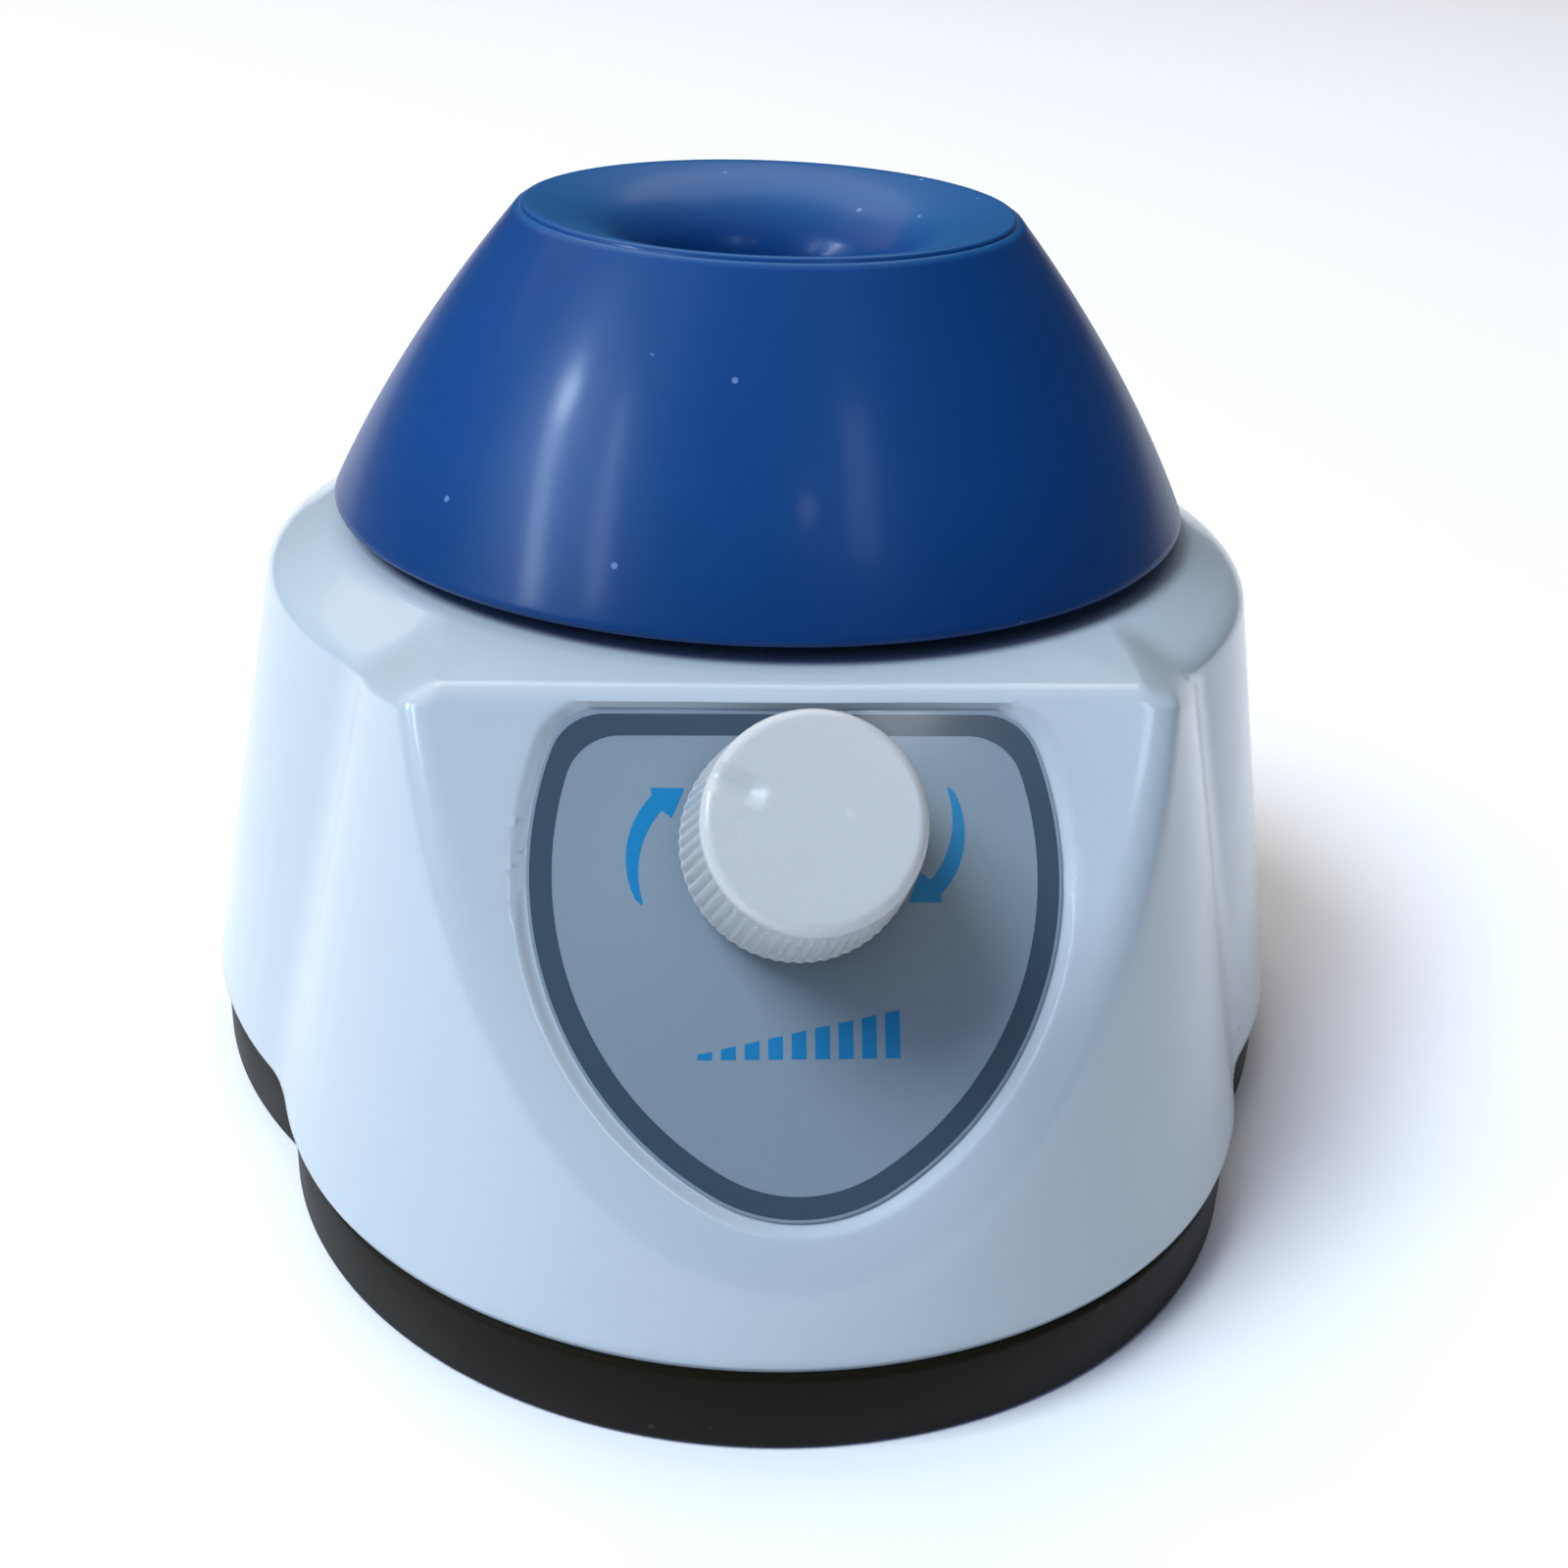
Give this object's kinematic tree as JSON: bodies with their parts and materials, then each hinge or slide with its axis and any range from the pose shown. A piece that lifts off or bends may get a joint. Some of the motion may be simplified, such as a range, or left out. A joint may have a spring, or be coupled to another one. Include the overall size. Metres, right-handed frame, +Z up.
{
  "type": "vortex mixer",
  "caption": "Vortex mixer with a rubber cup on an offset-pin drive, a round moulded casing with a sloping control nose, a speed knob and a weighted base.",
  "frame": {"origin": "on the bench plane, under the middle of the footprint's bounding box", "axes": "+Z up; the control nose points to -Y; the motor axis is parallel to Z and 8.71 mm behind the origin"},
  "size_m": [0.1138, 0.1312, 0.0848],
  "materials": {
    "casing_white": "glossy moulded plastic, cool white",
    "base_black": "matt moulded plastic, brown-black",
    "foot_rubber": "matt black rubber",
    "cup_blue": "glossy moulded rubber, deep blue",
    "label_film": "satin printed film, blue-grey with a slate border",
    "knob_white": "glossy moulded plastic, warm white",
    "steel": "plain turned or pressed steel",
    "zinc_screw": "bright zinc plate",
    "black_oxide": "black oxide steel",
    "brass": "turned brass",
    "alloy": "anodised aluminium",
    "bearing_steel": "polished bearing steel",
    "acetal": "satin natural acetal",
    "black_plastic": "matt black moulded plastic",
    "damper_rubber": "soft black rubber",
    "board_green": "green solder mask",
    "sleeve_blue": "dark blue shrink sleeve",
    "terminal_green": "green moulded plastic"
  },
  "bodies": {
    "base": {"housing": "casing_white", "base_tray": "base_black", "feet": "foot_rubber", "ballast_plate": "steel", "base_screws": "zinc_screw", "front_label": "label_film", "pot_body": "alloy", "pot_washer": "zinc_screw", "pot_nut": "zinc_screw", "circuit_board": "board_green", "board_pillars": "brass", "board_screws": "zinc_screw", "board_capacitor": "sleeve_blue", "board_transistor": "black_plastic", "board_terminals": "terminal_green", "motor_can": "steel", "motor_end_cap": "black_plastic", "motor_plate": "alloy", "motor_screws": "zinc_screw", "plate_dampers": "damper_rubber", "plate_screws": "zinc_screw", "guide_ring": "acetal", "power_socket": "black_plastic", "socket_nut": "zinc_screw"},
    "rotor": {"motor_shaft": "bearing_steel", "eccentric": "brass", "grub_screw": "black_oxide", "pin_washer": "zinc_screw", "pin_screw": "zinc_screw", "bearing_inner": "bearing_steel", "bearing_balls": "bearing_steel"},
    "cup": {"rubber_cup": "cup_blue", "cup_hub": "acetal", "bearing_outer": "bearing_steel"},
    "knob": {"speed_knob": "knob_white", "pot_shaft": "alloy"}
  },
  "joints": [
    {"name": "motor_spin", "type": "hinge", "parent": "base", "child": "rotor", "pos_m": [0, 0.0087, 0.045], "axis": [0, 0, 1], "continuous": true},
    {"name": "cup_orbit", "type": "hinge", "parent": "rotor", "child": "cup", "pos_m": [0, 0.01021, 0.06], "axis": [0, 0, 1], "continuous": true},
    {"name": "knob_turn", "type": "hinge", "parent": "base", "child": "knob", "pos_m": [0, -0.04357, 0.04414], "axis": [0, 0.8192, -0.5736], "range_deg": [-85, 215]}
  ],
  "couplings": [
    {"joint": "cup_orbit", "follows": "motor_spin", "ratio": -1}
  ]
}
